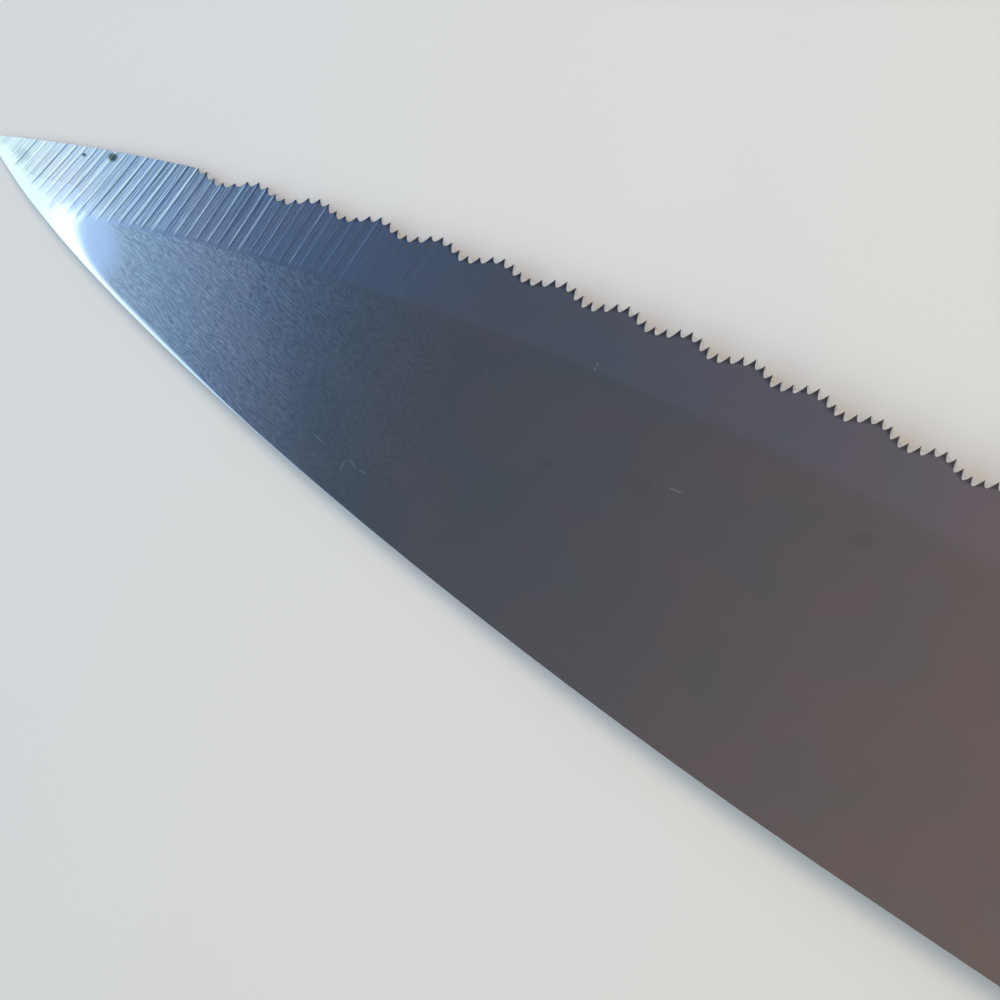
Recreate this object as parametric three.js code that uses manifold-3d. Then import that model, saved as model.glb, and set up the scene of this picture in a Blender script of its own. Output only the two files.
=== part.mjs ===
// A butcher knife: a stamped blade with a full tang, two wooden scales and three two-piece rivets.
// Millimetres. The knife lies on its left side: +X runs to the tip, +Y to the spine, +Z up through the
// right face, which carries the ground bevel. The left face is flat right out to the edge.

import * as THREE from 'three';
import { mergeVertices } from 'three/addons/utils/BufferGeometryUtils.js';
import Module from 'manifold-3d';

// Blade: the outline is measured from the heel (x = 0) and the straight spine (y = 0)
const BLADE_LENGTH = 203;
const BLADE_THICKNESS = 1.5;
const HEEL_DEPTH = 35.1;
const TIP_DROP = 13.2;
const SPINE_DROP_LENGTH = 102.5;
const SPINE_TIP_ANGLE = 26.2;
const SPINE_TIP_PULL = 20.7;
const SPINE_STRAIGHT_PULL = 34;
const EDGE_TIP_ANGLE = 26;
const EDGE_TIP_PULL = 32;
const BELLY_LENGTH = 105;
const BELLY_PULL = 29.4;

// Ground edge: a shallow hollow bevel from the right face, and waves of teeth that are cut at a steep angle
// through its thin edge. The teeth grow from the tip towards the heel. The strokes of the wheel lean, most
// of all near the tip, and low ribs stand between them there.
const BEVEL_WIDTH = 6.4;
const EDGE_ANGLE = 7.5;
const EDGE_THICKNESS = 0.45;
const PLAIN_TIP = 21;
const PLAIN_HEEL = 9;
const PLAIN_FACET = 0.1;
const TOOTH_PITCH = 1;
const TEETH_PER_WAVE = 6;
const WAVE_DEPTH = 0.85;
const GULLET_DEPTH = 0.7;
const TOOTH_FACET = 0.05;
const GULLET_FACET = 0.42;
const FIRST_TOOTH_SHARE = 0.4;
const TOOTH_GROWTH_LENGTH = 48;
const GROOVE_LEAN = 15;
const TIP_GROOVE_LEAN = 34;
const LEAN_CHANGE_START = 16;
const LEAN_CHANGE_LENGTH = 18;
const RIB_HEIGHT = 0.012;
const RIB_NARROWNESS = 6;
const RIB_FADE_START = 16;
const RIB_FADE_LENGTH = 26;
const RIB_REST_SHARE = 0.12;

// Handle: places are measured back from the front of the scales or forward from the butt, and depths
// down from the straight spine
const NECK_LENGTH = 7;
const HANDLE_LENGTH = 122;
const HANDLE_FRONT_DEPTH = 23;
const FINGER_HOLLOW_BACK = 24;
const FINGER_HOLLOW_DEPTH = 20.5;
const PALM_SWELL_BACK = 60;
const PALM_SWELL_DEPTH = 25;
const REAR_WAIST_FORWARD = 32;
const REAR_WAIST_DEPTH = 23.5;
const BEAK_FORWARD = 13;
const BEAK_DEPTH = 29;
const TOP_REAR_FORWARD = 11;
const TOP_REAR_DEPTH = 5;
const TOP_ARCH = 1.2;
const SCALE_THICKNESS = 8.5;
const SCALE_EDGE_ROUND = 4.5;
const SCALE_FRONT_ROUND = 5;
const BOND_LINE = 0.05;

// Rivets: a headed sleeve from the right, and a headed pin from the left that enters it
const RIVET_NAMES = ['front', 'middle', 'rear'];
const FRONT_RIVET_BACK = 17;
const FRONT_RIVET_DEPTH = 11;
const REAR_RIVET_FORWARD = 23;
const REAR_RIVET_DEPTH = 14.7;
const HEAD_RADIUS = 4;
const HEAD_THICKNESS = 2;
const HEAD_RECESS = 0.05;
const SLEEVE_RADIUS = 2.6;
const BORE_RADIUS = 1.6;
const PIN_CLEARANCE = 0.05;
const HOLE_CLEARANCE = 0.1;
const SEAT_GAP = 0.05;
const END_GAP = 0.5;

// Fineness of the curves
const CURVE_STEPS = 12;
const ROUND_SIDES = 32;
const EDGE_ROUND_STEPS = 4;
const STEPS_PER_TOOTH = 4;
const BEVEL_ROWS = 2;

// How far a cutting tool runs on past the faces that it opens
const CUT_PAST = 1;

const wasm = await Module();
wasm.setup();

const { clamp, degToRad, lerp, smoothstep } = THREE.MathUtils;

const steel = { color: 0x8d929b, roughness: 0.28, metalness: 1 };
const wood = { color: 0x4a2a1b, roughness: 0.55, metalness: 0 };
const brass = { color: 0xb08d4a, roughness: 0.3, metalness: 1 };

// A closed geometry becomes a solid that can be cut and joined
function solidOf(geometry) {
  const bare = geometry.clone();
  bare.deleteAttribute('normal');
  bare.deleteAttribute('uv');
  const merged = mergeVertices(bare);
  return new wasm.Manifold(new wasm.Mesh({
    numProp: 3,
    vertProperties: new Float32Array(merged.attributes.position.array),
    triVerts: new Uint32Array(merged.index.array),
  }));
}

function namedMesh(name, solid, finish) {
  const cut = solid.getMesh();
  const geometry = new THREE.BufferGeometry();
  geometry.setAttribute('position', new THREE.Float32BufferAttribute(cut.vertProperties, 3));
  geometry.setIndex(new THREE.BufferAttribute(cut.triVerts, 1));
  geometry.computeVertexNormals();
  const mesh = new THREE.Mesh(geometry, new THREE.MeshStandardMaterial(finish));
  mesh.name = name;
  return mesh;
}

function polar(degrees, length) {
  const angle = degToRad(degrees);
  return new THREE.Vector2(Math.cos(angle) * length, Math.sin(angle) * length);
}

// Outline of the blade: the spine falls to the tip, and the edge, which is straight at the heel, rises to it
// in a belly
const tip = new THREE.Vector2(BLADE_LENGTH, -TIP_DROP);
const heel = new THREE.Vector2(0, -HEEL_DEPTH);
const spineStart = new THREE.Vector2(BLADE_LENGTH - SPINE_DROP_LENGTH, 0);
const spineCurve = new THREE.CubicBezierCurve(
  tip,
  tip.clone().add(polar(180 - SPINE_TIP_ANGLE, SPINE_TIP_PULL)),
  spineStart.clone().add(new THREE.Vector2(SPINE_STRAIGHT_PULL, 0)),
  spineStart,
);
const bellyEnd = new THREE.Vector2(BLADE_LENGTH - BELLY_LENGTH, -HEEL_DEPTH);
const bellyCurve = new THREE.CubicBezierCurve(
  tip,
  tip.clone().add(polar(180 + EDGE_TIP_ANGLE, EDGE_TIP_PULL)),
  bellyEnd.clone().add(new THREE.Vector2(BELLY_PULL, 0)),
  bellyEnd,
);
bellyCurve.arcLengthDivisions = 2000;
const bellyRun = bellyCurve.getLength();
const edgeLength = bellyRun + bellyEnd.distanceTo(heel);

// Places along the handle
const scaleFront = -NECK_LENGTH;
const butt = scaleFront - HANDLE_LENGTH;
const frontTop = new THREE.Vector2(scaleFront, 0);
const frontBottom = new THREE.Vector2(scaleFront, -HANDLE_FRONT_DEPTH);
const fingerHollow = new THREE.Vector2(scaleFront - FINGER_HOLLOW_BACK, -FINGER_HOLLOW_DEPTH);
const palmSwell = new THREE.Vector2(scaleFront - PALM_SWELL_BACK, -PALM_SWELL_DEPTH);
const rearWaist = new THREE.Vector2(butt + REAR_WAIST_FORWARD, -REAR_WAIST_DEPTH);
const beak = new THREE.Vector2(butt + BEAK_FORWARD, -BEAK_DEPTH);
const topRear = new THREE.Vector2(butt + TOP_REAR_FORWARD, -TOP_REAR_DEPTH);

// The depth at which the line through a point, in a direction, crosses the handle's rear end
function atButt(point, direction) {
  return point.y + (butt - point.x) * direction.y / direction.x;
}

// The handle's outline from the front of its top, round the butt, to the front of its bottom. Each curve
// leaves in the direction in which the one before it arrives.
function addHandleOutline(shape) {
  const topPull = (frontTop.x - topRear.x) / 3;
  const topControl = new THREE.Vector2(topRear.x + topPull, TOP_ARCH);
  shape.bezierCurveTo(frontTop.x - topPull, TOP_ARCH, topControl.x, topControl.y, topRear.x, topRear.y);
  const upperCorner = atButt(topRear, topRear.clone().sub(topControl));
  const lowerCorner = atButt(beak, rearWaist.clone().sub(beak));
  shape.quadraticCurveTo(butt, upperCorner, butt, (upperCorner + lowerCorner) / 2);
  shape.quadraticCurveTo(butt, lowerCorner, beak.x, beak.y);
  shape.splineThru([rearWaist, palmSwell, fingerHollow, frontBottom]);
}

// The stamped blank reaches past the finished edge, so that grinding gives the edge its line
function blankShape() {
  const shift = polar(-SPINE_TIP_ANGLE, BLADE_THICKNESS);
  const choilRise = (frontBottom.y - heel.y) / 2;
  const blankTip = tip.clone().add(shift);
  const shape = new THREE.Shape();
  shape.moveTo(blankTip.x, blankTip.y);
  shape.lineTo(tip.x, tip.y);
  shape.bezierCurveTo(
    spineCurve.v1.x, spineCurve.v1.y,
    spineCurve.v2.x, spineCurve.v2.y,
    spineStart.x, spineStart.y,
  );
  shape.lineTo(frontTop.x, frontTop.y);
  addHandleOutline(shape);
  shape.quadraticCurveTo(heel.x, frontBottom.y, heel.x, frontBottom.y - choilRise);
  shape.lineTo(heel.x, heel.y + shift.y);
  shape.lineTo(bellyEnd.x + shift.x, bellyEnd.y + shift.y);
  shape.bezierCurveTo(
    bellyCurve.v2.x + shift.x, bellyCurve.v2.y + shift.y,
    bellyCurve.v1.x + shift.x, bellyCurve.v1.y + shift.y,
    blankTip.x, blankTip.y,
  );
  return shape;
}

// The hollow of the bevel: its height over the flat back at a distance in from the edge line, and the
// distance at which it has a given height
const edgeRise = Math.tan(degToRad(EDGE_ANGLE));
const bevelRise = BLADE_THICKNESS - EDGE_THICKNESS;
const hollowRise = (bevelRise / BEVEL_WIDTH - edgeRise) / BEVEL_WIDTH;

function hollowHeight(inward) {
  return EDGE_THICKNESS + edgeRise * inward + hollowRise * inward ** 2;
}

function hollowReach(height) {
  const rise = height - EDGE_THICKNESS;
  return (Math.sqrt(edgeRise ** 2 + 4 * hollowRise * rise) - edgeRise) / (2 * hollowRise);
}

// The teeth, by the distance that is run along the edge from the tip
const wavePitch = TOOTH_PITCH * TEETH_PER_WAVE;
const waveCount = Math.floor((edgeLength - PLAIN_TIP - PLAIN_HEEL) / wavePitch);
const toothedEnd = PLAIN_TIP + waveCount * wavePitch;

function isToothed(run) {
  return run > PLAIN_TIP && run < toothedEnd;
}

// How far a place lies into its gullet: 0 on a tooth's tip and 1 in the middle of the gullet
function gulletShare(run) {
  const teeth = (run - PLAIN_TIP) / TOOTH_PITCH;
  const across = teeth - Math.floor(teeth);
  return 1 - (2 * across - 1) ** 2;
}

function toothSize(run) {
  return lerp(FIRST_TOOTH_SHARE, 1, smoothstep(run, PLAIN_TIP, PLAIN_TIP + TOOTH_GROWTH_LENGTH));
}

// The edge on the bevelled side, as a distance in from the edge line
function toothLine(run) {
  if (!isToothed(run)) {
    return PLAIN_FACET;
  }
  const wave = WAVE_DEPTH * (1 - Math.cos(2 * Math.PI * (run - PLAIN_TIP) / wavePitch)) / 2;
  return wave + GULLET_DEPTH * toothSize(run) * gulletShare(run);
}

// How far the edge stands out on the flat back, beyond the edge on the bevelled side
function facetWidth(run) {
  if (!isToothed(run)) {
    return PLAIN_FACET;
  }
  return lerp(TOOTH_FACET, GULLET_FACET * toothSize(run), gulletShare(run));
}

// How deep the flat grooves between the narrow ribs are
function grooveDepth(run) {
  const fromMiddle = Math.sqrt(1 - gulletShare(run));
  const faded = lerp(1, RIB_REST_SHARE, smoothstep(run, RIB_FADE_START, RIB_FADE_START + RIB_FADE_LENGTH));
  return RIB_HEIGHT * faded * (1 - fromMiddle ** RIB_NARROWNESS);
}

function grooveLean(run) {
  const change = smoothstep(run, LEAN_CHANGE_START, LEAN_CHANGE_START + LEAN_CHANGE_LENGTH);
  return Math.tan(degToRad(lerp(TIP_GROOVE_LEAN, GROOVE_LEAN, change)));
}

// A point and the direction towards the handle on the edge line, which runs on straight past both ends of
// the belly
function edgeAt(run) {
  const share = clamp(run / bellyRun, 0, 1);
  const along = bellyCurve.getTangentAt(share);
  const point = bellyCurve.getPointAt(share).addScaledVector(along, run - share * bellyRun);
  return { point, along };
}

// One stroke of the wheel, as the corners of what it takes away: from outside the edge, up the teeth's
// facet and the hollow to the right face, and out again above the blade
function strokeCorners(run) {
  const { point, along } = edgeAt(run);
  const stroke = new THREE.Vector2(along.y, -along.x).addScaledVector(along, -grooveLean(run));
  const corner = (inward, height) => [point.x + stroke.x * inward, point.y + stroke.y * inward, height];
  const groove = grooveDepth(run);
  const bevelLine = hollowReach(BLADE_THICKNESS + groove);
  const edge = toothLine(run);
  const backEdge = Math.max(edge - facetWidth(run), 0);
  const clear = 2 * BLADE_THICKNESS;
  const corners = [corner(-clear, -edgeRise * clear), corner(backEdge, 0)];
  for (let row = 0; row < BEVEL_ROWS; row += 1) {
    const inward = lerp(edge, bevelLine, row / BEVEL_ROWS);
    corners.push(corner(inward, hollowHeight(inward) - groove));
  }
  corners.push(corner(bevelLine, BLADE_THICKNESS));
  corners.push(corner(bevelLine + clear, 2 * clear), corner(-clear, 2 * clear));
  return corners;
}

// The metal that grinding takes away: the strokes side by side, from before the tip to past the heel
function grindingSolid() {
  const step = TOOTH_PITCH / STEPS_PER_TOOTH;
  const overrun = 2 * BEVEL_WIDTH;
  const before = Math.ceil((PLAIN_TIP + overrun) / step);
  const after = Math.ceil((edgeLength - PLAIN_TIP + overrun) / step);
  const strokes = [];
  for (let count = -before; count <= after; count += 1) {
    strokes.push(strokeCorners(PLAIN_TIP + count * step));
  }
  const ring = strokes[0].length;
  const last = (strokes.length - 1) * ring;
  const index = [];
  for (let corner = 1; corner < ring - 1; corner += 1) {
    index.push(0, corner, corner + 1);
    index.push(last, last + corner + 1, last + corner);
  }
  for (let start = 0; start < last; start += ring) {
    for (let corner = 0; corner < ring; corner += 1) {
      const here = start + corner;
      const next = start + (corner + 1) % ring;
      index.push(here, here + ring, next);
      index.push(next, here + ring, next + ring);
    }
  }
  const geometry = new THREE.BufferGeometry();
  geometry.setAttribute('position', new THREE.Float32BufferAttribute(strokes.flat(2), 3));
  geometry.setIndex(index);
  return solidOf(geometry);
}

// Levels through the handle, from the flat back of the blade at z = 0
const rightInner = BLADE_THICKNESS + BOND_LINE;
const rightOuter = rightInner + SCALE_THICKNESS;
const leftInner = -BOND_LINE;
const leftOuter = leftInner - SCALE_THICKNESS;
const sleeveHeadTop = rightOuter - HEAD_RECESS;
const sleeveHeadSeat = sleeveHeadTop - HEAD_THICKNESS;
const pinHeadBottom = leftOuter + HEAD_RECESS;
const pinHeadSeat = pinHeadBottom + HEAD_THICKNESS;

// The rivets stand evenly on a line between the front one and the rear one
const frontRivet = new THREE.Vector2(scaleFront - FRONT_RIVET_BACK, -FRONT_RIVET_DEPTH);
const rearRivet = new THREE.Vector2(butt + REAR_RIVET_FORWARD, -REAR_RIVET_DEPTH);
const rivets = RIVET_NAMES.map((name, number) => ({
  name,
  place: frontRivet.clone().lerp(rearRivet, number / (RIVET_NAMES.length - 1)),
}));

// A round bar or hole along Z between two levels
function roundBar(radius, low, high, place) {
  const geometry = new THREE.CylinderGeometry(radius, radius, high - low, ROUND_SIDES);
  geometry.rotateX(Math.PI / 2);
  geometry.translate(place.x, place.y, (low + high) / 2);
  return solidOf(geometry);
}

// A turned piece on a rivet's axis, from its profile of radius and level
function turned(profile, place) {
  const points = profile.map(([radius, level]) => new THREE.Vector2(radius, level));
  const geometry = new THREE.LatheGeometry(points, ROUND_SIDES);
  geometry.rotateX(Math.PI / 2);
  geometry.translate(place.x, place.y, 0);
  return solidOf(geometry);
}

function bladeSolid() {
  const settings = { depth: BLADE_THICKNESS, bevelEnabled: false, curveSegments: CURVE_STEPS };
  let solid = solidOf(new THREE.ExtrudeGeometry(blankShape(), settings)).subtract(grindingSolid());
  for (const { place } of rivets) {
    const radius = SLEEVE_RADIUS + HOLE_CLEARANCE;
    solid = solid.subtract(roundBar(radius, -CUT_PAST, BLADE_THICKNESS + CUT_PAST, place));
  }
  return solid;
}

// The whole wooden grip, before the tang's slot parts it into two scales: its outline with rounded edges,
// met by a side profile that cuts the front off and rounds it
function gripSolid() {
  const pastFront = scaleFront + 2 * SCALE_EDGE_ROUND;
  const shape = new THREE.Shape();
  shape.moveTo(pastFront, frontTop.y);
  shape.lineTo(frontTop.x, frontTop.y);
  addHandleOutline(shape);
  shape.lineTo(pastFront, frontBottom.y);
  const outline = new THREE.ExtrudeGeometry(shape, {
    depth: rightOuter - leftOuter - 2 * SCALE_EDGE_ROUND,
    bevelThickness: SCALE_EDGE_ROUND,
    bevelSize: SCALE_EDGE_ROUND,
    bevelOffset: -SCALE_EDGE_ROUND,
    bevelSegments: EDGE_ROUND_STEPS,
    curveSegments: CURVE_STEPS,
  });
  outline.translate(0, 0, leftOuter + SCALE_EDGE_ROUND);
  return solidOf(outline).intersect(frontProfileSolid());
}

// The grip seen from its edge: straight sides, and a front whose two outer corners are rounded
function frontProfileSolid() {
  const behind = butt - CUT_PAST;
  const shape = new THREE.Shape();
  shape.moveTo(behind, leftOuter);
  shape.lineTo(scaleFront - SCALE_FRONT_ROUND, leftOuter);
  shape.quadraticCurveTo(scaleFront, leftOuter, scaleFront, leftOuter + SCALE_FRONT_ROUND);
  shape.lineTo(scaleFront, rightOuter - SCALE_FRONT_ROUND);
  shape.quadraticCurveTo(scaleFront, rightOuter, scaleFront - SCALE_FRONT_ROUND, rightOuter);
  shape.lineTo(behind, rightOuter);
  const width = 2 * HANDLE_LENGTH;
  const settings = { depth: width, bevelEnabled: false, curveSegments: EDGE_ROUND_STEPS };
  const geometry = new THREE.ExtrudeGeometry(shape, settings);
  geometry.rotateX(Math.PI / 2);
  geometry.translate(0, width / 2, 0);
  return solidOf(geometry);
}

// A slab across the whole handle between two levels
function slab(low, high) {
  const length = HANDLE_LENGTH * 2;
  const geometry = new THREE.BoxGeometry(length, length, high - low);
  geometry.translate(scaleFront - HANDLE_LENGTH / 2, 0, (low + high) / 2);
  return solidOf(geometry);
}

// One scale: a side of the grip, with a stepped hole for each rivet's shank and head
function scaleSolid(inner, outer, headSeat) {
  const outward = Math.sign(outer - inner);
  const beyond = outer + outward * CUT_PAST;
  const headFloor = headSeat - outward * SEAT_GAP;
  const low = Math.min(inner, beyond);
  const high = Math.max(inner, beyond);
  let solid = gripSolid().intersect(slab(low, high));
  for (const { place } of rivets) {
    const shank = roundBar(SLEEVE_RADIUS + HOLE_CLEARANCE, low - CUT_PAST, high + CUT_PAST, place);
    const headRadius = HEAD_RADIUS + HOLE_CLEARANCE;
    const head = roundBar(headRadius, Math.min(headFloor, beyond), Math.max(headFloor, beyond), place);
    solid = solid.subtract(shank).subtract(head);
  }
  return solid;
}

function sleeveSolid(place) {
  const mouth = pinHeadSeat + END_GAP;
  return turned([
    [0, sleeveHeadSeat],
    [BORE_RADIUS, sleeveHeadSeat],
    [BORE_RADIUS, mouth],
    [SLEEVE_RADIUS, mouth],
    [SLEEVE_RADIUS, sleeveHeadSeat],
    [HEAD_RADIUS, sleeveHeadSeat],
    [HEAD_RADIUS, sleeveHeadTop],
    [0, sleeveHeadTop],
  ], place);
}

function pinSolid(place) {
  const shank = BORE_RADIUS - PIN_CLEARANCE;
  const end = sleeveHeadSeat - END_GAP;
  return turned([
    [0, pinHeadBottom],
    [HEAD_RADIUS, pinHeadBottom],
    [HEAD_RADIUS, pinHeadSeat],
    [shank, pinHeadSeat],
    [shank, end],
    [0, end],
  ], place);
}

// The assembled knife, with its origin under the middle of its box
const pieces = new THREE.Group();
pieces.add(namedMesh('blade', bladeSolid(), steel));
pieces.add(namedMesh('scale_right', scaleSolid(rightInner, rightOuter, sleeveHeadSeat), wood));
pieces.add(namedMesh('scale_left', scaleSolid(leftInner, leftOuter, pinHeadSeat), wood));
for (const { name, place } of rivets) {
  pieces.add(namedMesh(`rivet_${name}_sleeve`, sleeveSolid(place), brass));
  pieces.add(namedMesh(`rivet_${name}_pin`, pinSolid(place), brass));
}

const box = new THREE.Box3().setFromObject(pieces);
const middle = box.getCenter(new THREE.Vector3());
pieces.position.set(-middle.x, -middle.y, -box.min.z);

const knife = new THREE.Group();
knife.add(pieces);

export default knife;
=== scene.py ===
# A butcher knife lying on a pale floor: its finished surfaces, materials, light and camera.
# Shapes are in millimetres and measured as a blade is: x from the heel towards the tip, y up from the
# straight spine and z up from the flat back. Angles are in degrees. ORIGIN puts the shapes into the model's
# frame, which is in metres, as the camera and the lights are.

import math

import bmesh
import bpy
import numpy as np
from mathutils import Matrix, Vector
from mathutils.geometry import tessellate_polygon


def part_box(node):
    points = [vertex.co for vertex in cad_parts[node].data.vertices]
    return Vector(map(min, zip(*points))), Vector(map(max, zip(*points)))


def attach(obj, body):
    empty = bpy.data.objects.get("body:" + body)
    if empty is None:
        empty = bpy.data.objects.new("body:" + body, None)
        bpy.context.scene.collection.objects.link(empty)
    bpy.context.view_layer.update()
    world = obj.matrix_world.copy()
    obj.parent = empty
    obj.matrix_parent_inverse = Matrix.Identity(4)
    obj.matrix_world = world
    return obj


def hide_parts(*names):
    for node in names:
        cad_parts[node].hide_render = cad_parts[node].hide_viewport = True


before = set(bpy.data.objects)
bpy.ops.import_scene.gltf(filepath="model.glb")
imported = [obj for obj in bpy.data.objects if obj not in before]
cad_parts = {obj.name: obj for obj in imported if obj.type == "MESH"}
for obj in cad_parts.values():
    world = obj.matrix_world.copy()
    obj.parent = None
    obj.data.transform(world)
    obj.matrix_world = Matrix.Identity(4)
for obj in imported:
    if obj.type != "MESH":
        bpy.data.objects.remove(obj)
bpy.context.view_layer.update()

MM = 0.001
BODY = "root"
SEED = 11

# Blade outline
BLADE_LENGTH = 203.0
BLADE_THICKNESS = 1.5
HEEL_DEPTH = 35.1
TIP_DROP = 13.2
SPINE_DROP_LENGTH = 102.5
SPINE_TIP_ANGLE = 26.2
SPINE_TIP_PULL = 20.7
SPINE_STRAIGHT_PULL = 34.0
EDGE_TIP_ANGLE = 26.0
EDGE_TIP_PULL = 32.0
BELLY_LENGTH = 105.0
BELLY_PULL = 29.4

# Ground edge
BEVEL_WIDTH = 6.4
EDGE_ANGLE = 7.5
EDGE_THICKNESS = 0.45
PLAIN_TIP = 21.0
PLAIN_HEEL = 9.0
TOOTH_PITCH = 1.0
TEETH_PER_WAVE = 6
WAVE_DEPTH = 0.85
GULLET_DEPTH = 0.85
FIRST_TOOTH_SHARE = 0.55
TOOTH_GROWTH_LENGTH = 48.0
GROOVE_LEAN = 12.0
TIP_GROOVE_LEAN = 30.0
LEAN_CHANGE_START = 4.0
LEAN_CHANGE_LENGTH = 28.0
TOOTH_FACET = 0.05
GULLET_FACET = 0.42
FACET_START = 34.0
FACET_GROWTH_LENGTH = 24.0
GULLET_MIDDLE = 0.56
GULLET_ROUNDNESS = 1.8
PLAIN_FACET = 0.1
TIP_LINE_SOFTNESS = 0.06
REAR_LINE_SOFTNESS = 0.22
LINE_CHANGE_START = 38.0
LINE_CHANGE_LENGTH = 40.0
LINE_REACH_SHARE = 8.0
TOOTH_SPREAD = 0.12
RIB_HEIGHT = 0.0048
RIB_NARROWNESS = 6
RIB_SPREAD = 0.6
RIB_FADE_START = 27.0
RIB_FADE_LENGTH = 34.0
RIB_REST_SHARE = 0.12

# Broken corners of the tang and the back, and the spine's corner, which is polished round towards the tip
CORNER_WIDTH = 0.25
CORNER_DROP = 0.18
CORNER_FADE = 1.0
SPINE_ROUND_SLOPE = 11.0
SPINE_ROUND_WIDTH = 0.15
SPINE_ROUND_POWER = 5
FLAT_MARGIN = 0.4
FRONT_ROUND_WIDTH = 0.62
FRONT_ROUND_START = 24.0
FRONT_ROUND_LENGTH = 16.0
TIP_ROUND_WIDTH = 0.25
TIP_ROUND_LENGTH = 9.0
WORN_CORNER_WIDTH = 2.9
WORN_CORNER_FROM_TIP = 11.5
WORN_CORNER_LENGTH = 3.5

# Handle
NECK_LENGTH = 7.0
HANDLE_LENGTH = 122.0
HANDLE_FRONT_DEPTH = 23.0
FINGER_HOLLOW_BACK = 24.0
FINGER_HOLLOW_DEPTH = 20.5
PALM_SWELL_BACK = 60.0
PALM_SWELL_DEPTH = 25.0
REAR_WAIST_FORWARD = 32.0
REAR_WAIST_DEPTH = 23.5
BEAK_FORWARD = 13.0
BEAK_DEPTH = 29.0
TOP_REAR_FORWARD = 11.0
TOP_REAR_DEPTH = 5.0
TOP_ARCH = 1.2
SCALE_EDGE_ROUND = 4.5
SCALE_FRONT_ROUND = 5.0

# Rivets
RIVET_NAMES = ["front", "middle", "rear"]
HEAD_RADIUS = 4.0
HEAD_THICKNESS = 2.0
HEAD_ROUND = 0.25
SLEEVE_RADIUS = 2.6
BORE_RADIUS = 1.6
PIN_CLEARANCE = 0.05
HOLE_CLEARANCE = 0.1
SEAT_GAP = 0.05

# Fineness of the meshes
STEPS_PER_TOOTH = 12
BEVEL_ROWS = 8
BEVEL_LINE_ROWS = 10
ROUND_ROWS = 4
SCALE_ROUND_ROWS = 12
CURVE_STEPS = 48
SPINE_STEPS = 960
EDGE_STEPS = 2400
TURNED_SIDES = 96
HALVINGS = 50
WELD = 0.001
CUT_PAST = 1.0

# Angles from which an edge between two faces is sharp
BLADE_SHARP = 14.0
SCALE_SHARP = 30.0
RIVET_SHARP = 35.0

# View: the camera looks at a place on the right face near the tip
VIEW_FROM_TIP = 60.19
VIEW_DEPTH = 10.78
CAMERA_DISTANCE = 0.23
CAMERA_AZIMUTH = 185.0
CAMERA_ELEVATION = 75.0
CAMERA_ROLL = -62.0
CAMERA_LENS = 96.46
CAMERA_SENSOR = 36.0

# Surroundings: a dark ceiling that is warmer behind and pale far behind, and a window ahead of the tip.
# Seen in plan, the window's top edge and the glow on the wall above it run along lines that lean towards
# the edge's side.
FLOOR_SIZE = 20000.0
HORIZON = (0.42, 0.36, 0.32, 1)
HORIZON_RISE = (0.2, 0.5)
CEILING_FRONT = (0.092, 0.115, 0.148, 1)
CEILING_BACK = (0.27, 0.203, 0.182, 1)
CEILING_CHANGE = (0.35, -0.05)
CEILING_FAR = (0.4, 0.395, 0.4, 1)
CEILING_FAR_CHANGE = (-0.12, -0.42)
CEILING_SIDE_CHANGE = (0.27, 0.48)
WINDOW_LEAN = 0.347
WINDOW_EDGE = 0.439
WINDOW_FALL = 45.0
WINDOW_BLUE = (0.6, 0.95, 1.44, 1)
WINDOW_WHITE = (0.82, 0.76, 0.0, 1)
WINDOW_WHITE_END = 0.5
WINDOW_SIDE = (0.1, 0.3)
WINDOW_SILL = (0.9, 0.75)
EDGE_SIDE = (0.028, 0.025, 0.045, 1)
EDGE_SIDE_CHANGE = (-0.1, -0.35)
EDGE_SIDE_END = (0.42, 0.28)
GLOW = (0.0, 0.045, 0.18, 1)
GLOW_LEAN = 0.125
GLOW_RISE = (0.29, 0.43)

# Soft panels of light: where each one stands, seen from the middle of the view, its size and its watts
KEY = dict(azimuth=216.0, elevation=68.0, distance=0.35, size=0.13, power=0.47, colour=(1.0, 0.73, 0.42))
FILL = dict(azimuth=-4.0, elevation=60.0, distance=0.3, size=0.16, power=0.2, colour=(0.16, 0.48, 1.0))

# Where the knife's own zero lies in the model's frame
blade_low, blade_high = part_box("blade")
ORIGIN = Vector((blade_high.x - BLADE_LENGTH * MM, blade_low.y + HEEL_DEPTH * MM, blade_low.z))
VIEW_CENTRE = ORIGIN + Vector((BLADE_LENGTH - VIEW_FROM_TIP, -VIEW_DEPTH, BLADE_THICKNESS)) * MM
randomness = np.random.default_rng(SEED)


# Plane curves, as arrays of points

def at(x, y):
    return np.array([x, y], dtype=float)


def polar(degrees, length):
    angle = math.radians(degrees)
    return at(math.cos(angle) * length, math.sin(angle) * length)


def cubic(start, pull, push, end, steps=CURVE_STEPS):
    t = np.linspace(0, 1, steps + 1)[:, None]
    return (1 - t) ** 3 * start + 3 * (1 - t) ** 2 * t * pull + 3 * (1 - t) * t ** 2 * push + t ** 3 * end


def quadratic(start, corner, end):
    return cubic(start, start + (corner - start) * 2 / 3, end + (corner - end) * 2 / 3, end)


def spline_through(points):
    pieces = []
    last = len(points) - 1
    for number in range(last):
        before = points[max(number - 1, 0)]
        start = points[number]
        end = points[number + 1]
        after = points[min(number + 2, last)]
        pieces.append(cubic(start, start + (end - before) / 6, end - (after - start) / 6, end))
    return joined(*pieces)


def joined(*pieces):
    line = [pieces[0]]
    for piece in pieces[1:]:
        line.append(piece[1:])
    return np.concatenate(line)


def distances(line):
    return np.concatenate([[0], np.cumsum(np.linalg.norm(np.diff(line, axis=0), axis=1))])


def unit(vectors):
    return vectors / np.linalg.norm(vectors, axis=1, keepdims=True)


def smooth_share(value):
    share = np.clip(value, 0, 1)
    return share * share * (3 - 2 * share)


# The knife's outline

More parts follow.
